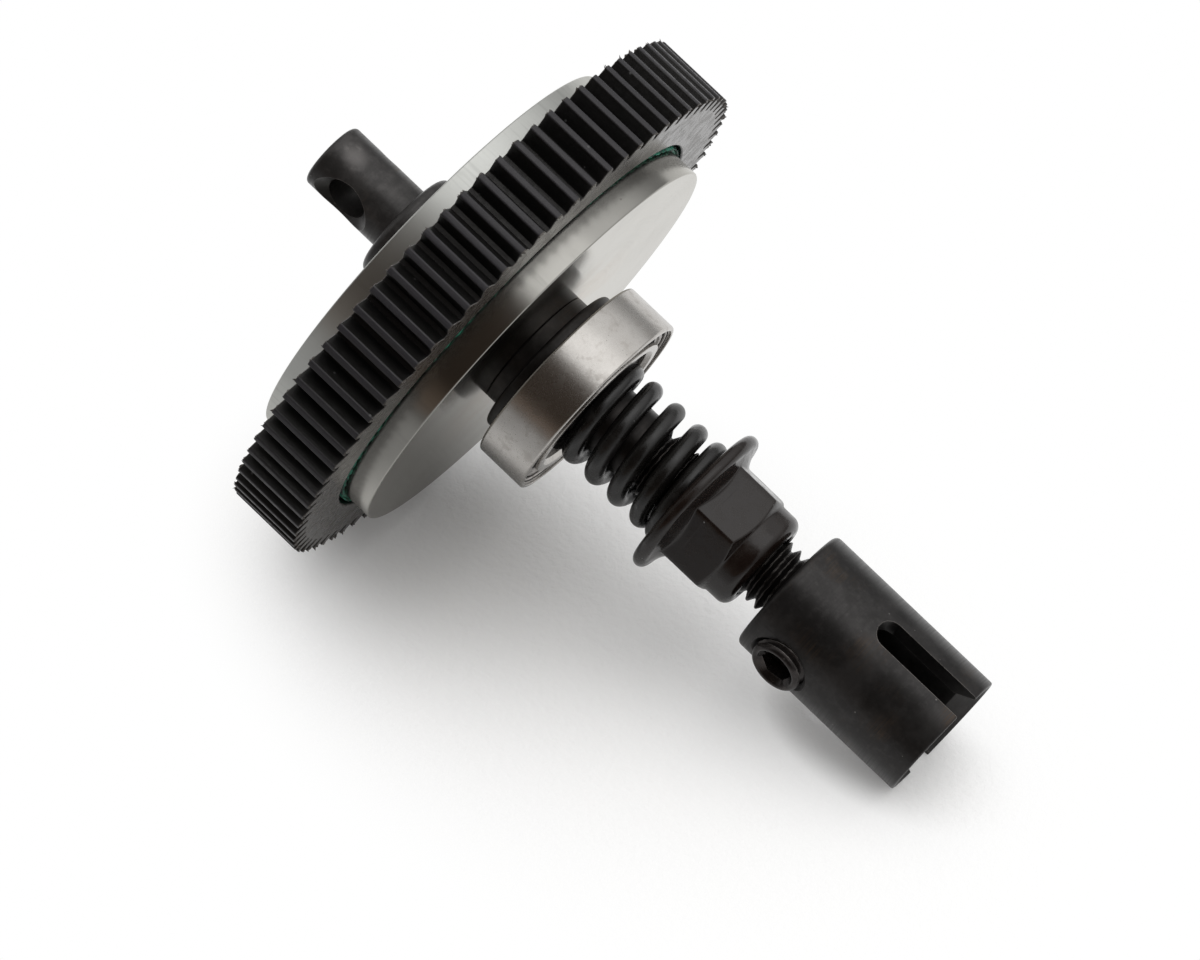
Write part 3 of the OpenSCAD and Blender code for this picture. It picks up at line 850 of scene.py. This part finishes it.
for end, name, face in ((1, "front", bearing_front), (-1, "rear", bearing_back)):
    corners = [(r, face - end * depth, bend) for r, depth, bend in pressed]
    shield = turned(name + "_shield", rounded(corners, steps=4), sides=160)
    smooth(shield, sheet)
    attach(shield, "bearing_ring")
    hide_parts("bearing_" + name + "_shield")

    wire_rings = []
    for i in range(snap_steps + 1):
        a = gap_at + wire_gap / 2 + (math.tau - wire_gap) * i / snap_steps
        out = Vector((math.cos(a), math.sin(a), 0))
        middle = out * (step_r - wire_w / 2) + Vector((0, 0, face - end * wire_depth))
        wire_rings.append([
            middle + out * wire_w / 2 * math.cos(b) + Vector((0, 0, wire_half_height * math.sin(b)))
            for b in (math.tau * j / snap_sides for j in range(snap_sides))
        ])
    wire = skinned(name + "_snap_wire", capped(wire_rings))
    smooth(wire, sheet)
    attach(wire, "bearing_ring")
    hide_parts(name + "_snap_ring")

polished, tree, shader = finish("polished_ball_steel", (0.7, 0.7, 0.7), 1.0, 0.08)
haze = use(tree, blotches, per_mm=3.0, low=0.3, high=0.8)
link(tree, shader, Roughness=between(tree, haze, 0.0, 1.0, 0.06, 0.14))
frame["nodes"]["bearing_balls"].data.materials[0] = polished
frame["nodes"]["ball_cage"].data.materials[0] = sheet

# Spring
# One round wire of black spring steel, coiled right-handed with a closed turn at each end, whose
# ends are ground flat. It stands on the hub's end, inside the bearing, and pushes on the nut.
sprung, tree, shader = finish("black_spring_wire", (0.008, 0.0075, 0.007), 0.0, 0.32, Specular_IOR_Level=0.5)
drawn = use(tree, blotches, per_mm=5.0, low=0.35, high=0.7)
patchy = use(tree, blotches, per_mm=0.7, low=0.42, high=0.66)
dust = use(tree, specks, per_mm=1.6, size=0.07, kept=0.75)
colour = mix(tree, patchy, (0.0045, 0.004, 0.0036), (0.009, 0.008, 0.0075))
colour = tint(tree, colour, dust, 0.4, (0.2, 0.2, 0.19))
rough = between(tree, patchy, 0.0, 1.0, 0.24, 0.4)
link(tree, shader, Base_Color=colour, Roughness=rough, Normal=bumped(tree, drawn, 0.002))

spring_low, spring_high, _ = reach("spring")
spring_length = spring_high - spring_low
wire_r = 0.7
coil_r = 3.375
closed_turns = 0.95
active_turns = 3.1
closed_rise = closed_turns * 2 * wire_r
first_turn = math.radians(305)
spring_turns = active_turns + 2 * closed_turns
rings_a_turn = 96
wire_sides = 32
end_clearance = 0.01


def wire_height(turn):
    """Height of the wire's middle above the hub's end, after so many turns"""
    if turn < closed_turns:
        return turn * closed_rise / closed_turns
    if turn > closed_turns + active_turns:
        return spring_length - (spring_turns - turn) * closed_rise / closed_turns
    return closed_rise + (turn - closed_turns) * (spring_length - 2 * closed_rise) / active_turns


rings = []
for i in range(round(spring_turns * rings_a_turn) + 1):
    turn = spring_turns * i / round(spring_turns * rings_a_turn)
    a = first_turn + math.tau * turn
    section = []
    for j in range(wire_sides):
        b = math.tau * (j + 0.5) / wire_sides
        r = coil_r + wire_r * math.cos(b)
        z = wire_height(turn) + wire_r * math.sin(b)
        z = min(max(z, end_clearance), spring_length - end_clearance)
        section.append(Vector((r * math.cos(a), r * math.sin(a), spring_low + z)))
    rings.append(section)
spring = skinned("coiled_wire", capped(rings))
smooth(spring, sprung, crease=40)
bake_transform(spring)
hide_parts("spring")

# Lock nut
# A flanged nut in one piece of steel with a thick, glossy black finish that softens its corners.
# Its collar is folded over a nylon ring that grips the thread.
glossy, tree, shader = finish("glossy_black_nut", (0.006, 0.005, 0.0045), 0.0, 0.16, Specular_IOR_Level=0.41)
pooled = use(tree, blotches, per_mm=1.1, low=0.35, high=0.7)
rubbed = use(tree, edges, width=0.1, patchy=0.55)
dust = use(tree, specks, per_mm=1.5, size=0.08, kept=0.7)
colour = mix(tree, pooled, (0.008, 0.0048, 0.0038), (0.011, 0.0075, 0.006))
colour = tint(tree, colour, rubbed, 0.25, (0.13, 0.12, 0.11))
colour = tint(tree, colour, dust, 0.5, (0.3, 0.3, 0.3))
rough = between(tree, pooled, 0.0, 1.0, 0.13, 0.3)
link(tree, shader, Base_Color=colour, Roughness=rough, Normal=bumped(tree, pooled, 0.004, 0.07))

nut_low, nut_high, nut_flange_r = reach("lock_nut")
half_flats = 3.975
nut_turn = math.radians(35.4)
rim_r = 0.525
fillet_low = 1.0
fillet_high = 2.3
flats_top = 5.0
cone_slope = 1.75
nut_collar_r = 3.825
nut_collar_round = 0.8
nut_gap = 0.03
nut_height = nut_high - nut_low
insert_low, insert_high, insert_r = reach("nut_insert")
seat_low = insert_low - nut_low - nut_gap
seat_high = insert_high - nut_low + nut_gap


def soft_larger(a, b, fillet):
    """The larger of two numbers, rounded off where they meet"""
    return (a + b + math.hypot(a - b, fillet)) / 2


def soft_smaller(a, b, fillet):
    """The smaller of two numbers, rounded off where they meet"""
    return (a + b - math.hypot(a - b, fillet)) / 2


def nut_radius(height):
    """Radius of the nut's outside at each angle: a flange, six flats cut by a cone, and a collar"""
    rim = max(rim_r ** 2 - (height - rim_r) ** 2, 0) ** 0.5
    flange = nut_flange_r - rim_r + rim if height < 2 * rim_r else 0
    if fillet_low < height < fillet_high:
        left = (fillet_high - height) / (fillet_high - fillet_low)
        flange = max(flange, half_flats - 0.15 + (nut_flange_r - rim_r + 0.25 - half_flats) * left ** 3)
    tip = max(nut_collar_round ** 2 - max(height - nut_height + nut_collar_round, 0) ** 2, 0) ** 0.5
    collar = nut_collar_r - nut_collar_round + tip
    chamfer = half_flats + (flats_top - height) * cone_slope

    def radius(a):
        off = (a - nut_turn) % (math.pi / 3) - math.pi / 6
        flats = soft_smaller(half_flats / math.cos(off), half_flats / math.cos(math.pi / 6) - 0.02, 0.1)
        hexagon = soft_smaller(flats, chamfer, 0.12)
        return min(soft_larger(soft_larger(hexagon, collar, 0.1), flange, 0.12), nut_flange_r)
    return radius


heights = [rim_r * (1 - math.cos(math.pi * i / 16)) for i in range(1, 16)]
for start, step, rows in ((1.04, 0.03, 48), (2.48, 0.06, 26), (4.06, 0.05, 42)):
    heights += [start + step * i for i in range(rows)]
heights = [h for h in heights if h < nut_height - nut_collar_round]
heights += [nut_height - nut_collar_round * (1 - math.sin(math.pi / 2 * i / 12)) for i in range(12)]
nut_sides = 288
outline = [(nut_flange_r - rim_r, 0)]
outline += [(nut_radius(h), h) for h in heights]
outline += [
    (nut_collar_r - nut_collar_round, nut_height), (shaft_r + 0.38, nut_height),
    (shaft_r + 0.3, nut_height - 0.08), (shaft_r + 0.3, seat_high), (insert_r + nut_gap, seat_high),
    (insert_r + nut_gap, seat_low), (shaft_r + nut_gap, seat_low), (shaft_r + nut_gap, 0.3),
    (shaft_r + 0.33, 0),
]
nut = turned("flanged_lock_nut", [(r, nut_low + z) for r, z in outline], nut_sides)
smooth(nut, glossy, crease=40)
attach(nut, "nut")
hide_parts("lock_nut")

nylon, tree, shader = finish("nylon_ring", (0.7, 0.69, 0.64), 0.0, 0.4, Subsurface_Weight=0.2)
worn = use(tree, blotches, per_mm=2.0, low=0.35, high=0.7)
link(tree, shader, Base_Color=mix(tree, worn, (0.7, 0.69, 0.64), (0.4, 0.38, 0.34)))
frame["nodes"]["nut_insert"].data.materials[0] = nylon

# Drive cup
# A blackened steel cup, held on the shaft's end by a set screw. Two round-ended slots are milled
# through its wall to the mouth, which is opened out in a cone, for a drive pin to slide in.
cup_low, cup_high, cup_r = reach("drive_cup")
socket_r = mounts["cup_socket"]["dims"]["r_mm"]
socket_depth = 8.3
socket_floor = cup_high - socket_depth
mouth_r = 4.6
mouth_depth = 1.4
slot_half = 1.05
slot_length = 8.0
slot_from_r = 2.8
slot_steps = 24
screw_inset = 3.3
screw_z = cup_low + screw_inset
screw_r = 2.0
screw_hole_bevel = 0.35
cup = turned("slotted_cup", rounded([
    (shaft_r + sliding_gap, cup_low, 0.05), (cup_r, cup_low, 0.42), (cup_r, cup_high, 0.14),
    (mouth_r, cup_high, 0.05), (socket_r, cup_high - mouth_depth, 0.1), (socket_r, socket_floor, 0.2),
    (shaft_r + sliding_gap, socket_floor, 0),
]), sides=176)
slot_round = cup_high - slot_length + slot_half
slot_angles = [math.pi + math.pi * i / slot_steps for i in range(slot_steps + 1)]
slot_outline = [(slot_half * math.cos(a), slot_half * math.sin(a)) for a in slot_angles]
slot_outline += [(slot_half, slot_length), (-slot_half, slot_length)]
for turn in (0, math.pi):
    sweep = [
        [Vector((x, across, slot_round + up)) for across, up in slot_outline]
        for x in (slot_from_r, cup_r + 1)
    ]
    carve(cup, skinned("slot_mill", capped(sweep), place=Matrix.Rotation(turn, 4, "Z")))
to_screw = Matrix.Translation((0, 0, screw_z)) @ Matrix.Rotation(math.radians(90), 4, "X")
drill = turned("screw_drill", [
    (0, 0), (screw_r + sliding_gap, 0), (screw_r + sliding_gap, cup_r - screw_hole_bevel),
    (screw_r + 2 * screw_hole_bevel, cup_r + screw_hole_bevel), (0, cup_r + screw_hole_bevel),
], drill_sides, closed=False, place=to_screw)
carve(cup, drill)
break_edges(cup, 0.06, lambda p: p.xy.length > 3.3 and (p.z > slot_round - 1.2 or p.y < -3.5))
smooth(cup, blackened("black_oxide_cup", (0.027, 0.0255, 0.025), 0.34, 0.35))
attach(cup, "rotor")
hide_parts("drive_cup")

# Set screw
# A short headless screw with a hexagon socket, which clamps the cup on the shaft. It stands a
# little proud, so that the first turn of its thread shows.
from_screw = to_screw.inverted() @ stood_up
screw_points = [from_screw @ v.co for v in frame["nodes"]["set_screw"].data.vertices]
screw_head = max(p.z for p in screw_points)
screw_tip = min(p.z for p in screw_points)
socket_half = 1.1
socket_deep = 1.5
screw_pitch = 0.7
screw_thread_depth = 0.38
screw_point_r = screw_r - 0.5
point_chamfer = 0.25
head_land = 0.5
screw_rows = 55
screw_sides = 96


def hexagon(a):
    """Radius of the hexagon socket at an angle"""
    return socket_half / math.cos((a + math.pi / 12) % (math.pi / 3) - math.pi / 6)


outline = [(0, screw_tip), (screw_point_r, screw_tip)]
for i in range(screw_rows + 1):
    z = screw_tip + point_chamfer
    z += (screw_head - (head_land + point_chamfer) - screw_tip) * i / screw_rows
    outline.append((threaded(screw_r, screw_pitch, screw_thread_depth, z), z))
outline += [(r, screw_head + z) for r, z in (
    (screw_r - 0.01, -0.36), (screw_r - 0.06, -0.2), (screw_r - 0.14, -0.09), (screw_r - 0.24, -0.02),
    (screw_r - 0.33, 0), (screw_r - 0.42, -0.02), (screw_r - 0.5, -0.07), (screw_r - 0.56, -0.15),
    (hexagon, -0.42), (hexagon, -socket_deep), (0, -socket_deep - 0.3),
)]
screw = turned("grub_screw", outline, screw_sides, closed=False, place=to_screw)
smooth(screw, blackened("black_oxide_screw", (0.03, 0.026, 0.025), 0.2, 1.2), crease=30)
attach(screw, "rotor")
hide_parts("set_screw")

# Studio
# The clutch lies on a sheet of pale paper, under a broad soft light from behind and above, in a
# white room with a dark, brownish side toward the camera.
to_camera = Vector((0.4173, -0.5146, 0.749)).normalized()
camera_right = Vector((0, 0, 1)).cross(to_camera).normalized()
camera_up = to_camera.cross(camera_right)
camera_distance = 0.4
aim_along = 5.46
aim_left = 0.002366
aim_down = 0.00248
aim = laid_down @ Vector((0, 0, aim_along)) - aim_left * camera_right - aim_down * camera_up
camera = bpy.data.cameras.new("camera")
camera.lens = 177
camera.sensor_width = 36
camera.clip_start = 0.01
viewer = placed("camera", camera)
turned_to = Matrix((camera_right, camera_up, to_camera)).transposed().to_4x4()
viewer.matrix_world = Matrix.Translation(aim + to_camera * camera_distance) @ turned_to
scene.camera = viewer

floor_z = cad_box[0].z
paper_half = 3
white = (1.0, 1.0, 1.0)
black = (0.0, 0.0, 0.0)


def from_oval(tree, spot, middle, size):
    """Where a point of the paper is from an oval's middle, and how far, where its edge is at 1"""
    offset = vector(tree, "DIVIDE", vector(tree, "SUBTRACT", spot, middle), size)
    return offset, measure(tree, "LENGTH", vector(tree, "MULTIPLY", offset, (1, 1, 0)))


paper, tree, shader = finish("pale_paper", (0.9, 0.895, 0.885), 0.0, 0.75)
spot = add(tree, "TexCoord").outputs["Object"]
toward_front = measure(tree, "DOT_PRODUCT", spot, (-0.22, -0.975, 0))
offset, away = from_oval(tree, spot, (-0.0129, -0.0055, 0), (0.0151, 0.0113, 1))
shadow_drawn_out = times(tree, parts(tree, offset)["X"], 0.65)
out_of_shadow = calc(tree, "SUBTRACT", away, shadow_drawn_out)
path = add(tree, "LightPath").outputs

# Painted shade on the paper, seen only in what the clutch mirrors: darker toward the front, and a painted
# shadow under the gear
near = between(tree, toward_front, -0.01, 0.06, 0.0, 0.54)
falloff = plus(tree, near, between(tree, toward_front, 0.12, 0.45, 0.0, 0.28))
falloff = calc(tree, "MAXIMUM", falloff, between(tree, out_of_shadow, 0.2, 2.0, 0.4, 0.0))
falloff = times(tree, falloff, calc(tree, "SUBTRACT", 1.0, path["Is Camera Ray"]))
colour = mix(tree, falloff, (0.92, 0.915, 0.905), black)
fibres = noise(tree, spot, 1500.0, 4.0, 0.65)
link(tree, shader, Base_Color=colour, Normal=bumped(tree, fibres, 0.1))

# Beyond the shadows of the gear and the cup, the paper is burnt out to white
bare = between(tree, out_of_shadow, 0.16, 1.7, 0.04, 1.0)
_, from_cup = from_oval(tree, spot, (0.0255, -0.0005, 0), (0.013, 0.0065, 1))
bare = calc(tree, "MINIMUM", bare, between(tree, from_cup, 0.35, 1.3, 0.15, 1.0))
seen = calc(tree, "MAXIMUM", path["Is Camera Ray"], path["Is Glossy Ray"])
bare = times(tree, bare, seen)
glow = add(tree, "Emission", {"Strength": 1.0, "Color": mix(tree, falloff, white, black)}).outputs[0]
blend = add(tree, "MixShader", {0: bare, 1: tree.nodes["Principled BSDF"].outputs[0], 2: glow})
tree.links.new(blend.outputs[0], tree.nodes["Material Output"].inputs[0])
corners = [(x * paper_half, y * paper_half, floor_z) for x, y in ((-1, -1), (1, -1), (1, 1), (-1, 1))]
mesh = bpy.data.meshes.new("paper")
mesh.from_pydata(corners, [], [(0, 1, 2, 3)])
mesh.materials.append(paper)
sheet_of_paper = placed("paper", mesh)

world = bpy.data.worlds.new("white_room")
scene.world = world
world.use_nodes = True
tree = world.node_tree
path = add(tree, "LightPath").outputs
dark_side = Vector((0.18, -0.876, 0.447)).normalized()
direction = add(tree, "TexCoord").outputs["Generated"]
facing = measure(tree, "DOT_PRODUCT", direction, dark_side)
height = parts(tree, direction)["Z"]
lamp_side = Vector((0.3, 0.3, 0.9)).normalized()
room = between(tree, height, 0.0, 0.6, 0.3, 0.58)
halo = measure(tree, "DOT_PRODUCT", direction, lamp_side)
room = plus(tree, room, between(tree, halo, 0.45, 1.0, 0.0, 0.5))
darkest = between(tree, height, 0.0, 0.35, 0.7, 0.08)
room = times(tree, room, between(tree, facing, 0.6, 0.79, 1.0, darkest))
room = calc(tree, "MAXIMUM", room, path["Is Camera Ray"])
background = tree.nodes["Background"].inputs
brown = calc(tree, "SUBTRACT", between(tree, facing, 0.67, 0.86, 0.0, 1.0), path["Is Camera Ray"])
brown = calc(tree, "MAXIMUM", brown, 0.0)
link(tree, background, Strength=room, Color=mix(tree, brown, white, (1.0, 0.76, 0.6)))


def softbox(name, direction, distance, size, power, mirrored=True):
    """A square lamp that faces the clutch from a direction, and may be left out of reflections"""
    lamp = bpy.data.lights.new(name, "AREA")
    lamp.shape = "SQUARE"
    lamp.size = size
    lamp.energy = power
    holder = placed(name, lamp)
    holder.location = direction.normalized() * distance
    holder.rotation_euler = direction.to_track_quat("Z", "Y").to_euler()
    holder.visible_glossy = mirrored


softbox("overhead_light", Vector((0.372, 0.1, 0.923)), 1.4, 1.0, 1.4)
softbox("paper_light", Vector((0.1, 0.05, 1.0)), 1.6, 2.2, 20.0, mirrored=False)
scene.view_settings.view_transform = "Standard"
